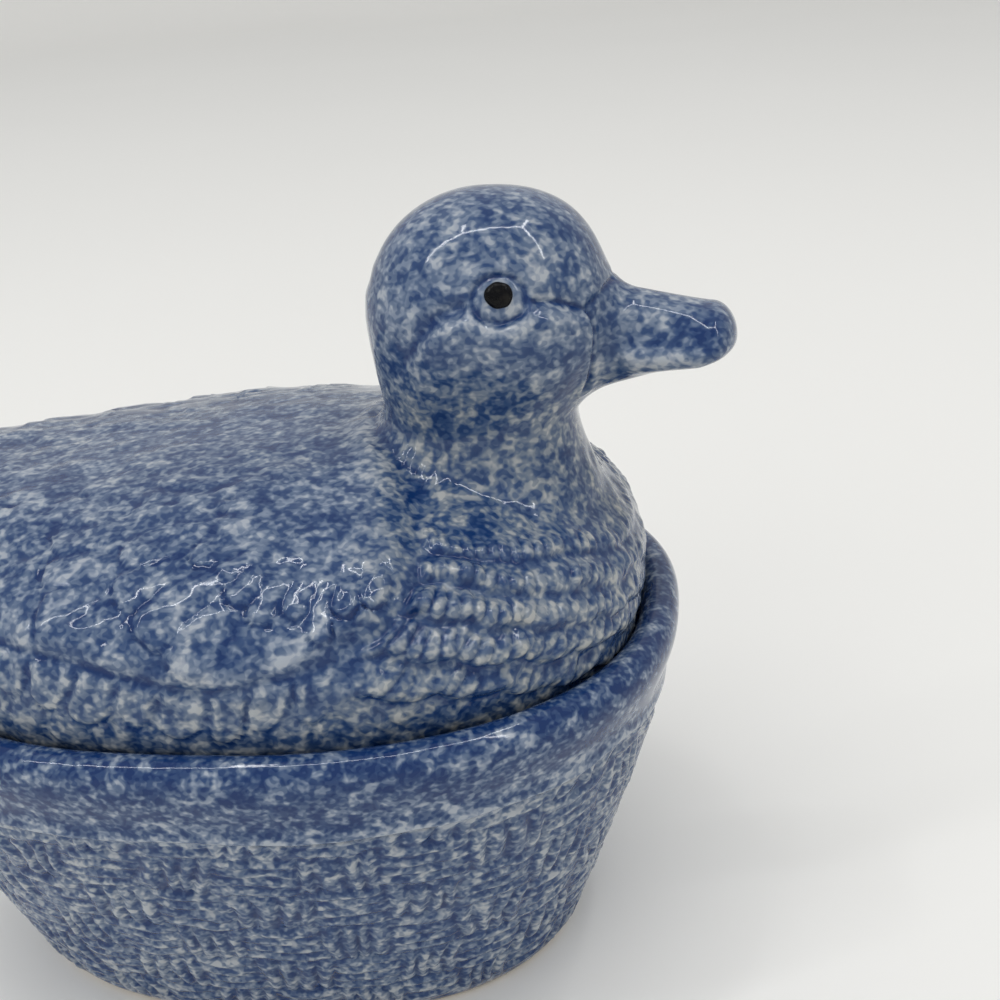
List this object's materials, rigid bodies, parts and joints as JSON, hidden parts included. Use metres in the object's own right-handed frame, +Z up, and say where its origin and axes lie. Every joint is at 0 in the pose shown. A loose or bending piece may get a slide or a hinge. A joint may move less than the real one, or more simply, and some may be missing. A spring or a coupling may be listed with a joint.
{
  "type": "duck trinket box",
  "caption": "Glazed ceramic trinket box: an oval basket-weave bowl with a hollow lid in the form of a resting duck that lifts straight off.",
  "frame": {"origin": "middle of the bowl's flat foot, on the surface that it stands on", "axes": "+X towards the duck's bill, +Y to the duck's left, +Z up"},
  "size_m": [0.1662, 0.12, 0.139],
  "materials": {
    "bowl_glaze": "gloss",
    "duck_glaze": "gloss",
    "black_enamel": "gloss"
  },
  "bodies": {
    "nest": {"nest_bowl": "bowl_glaze"},
    "lid": {"duck_lid": "duck_glaze", "right_pupil": "black_enamel", "left_pupil": "black_enamel"}
  },
  "joints": [
    {"name": "lid_lift", "type": "slide", "parent": "nest", "child": "lid", "axis": [0, 0, 1], "range_m": [0, 0.12]}
  ]
}
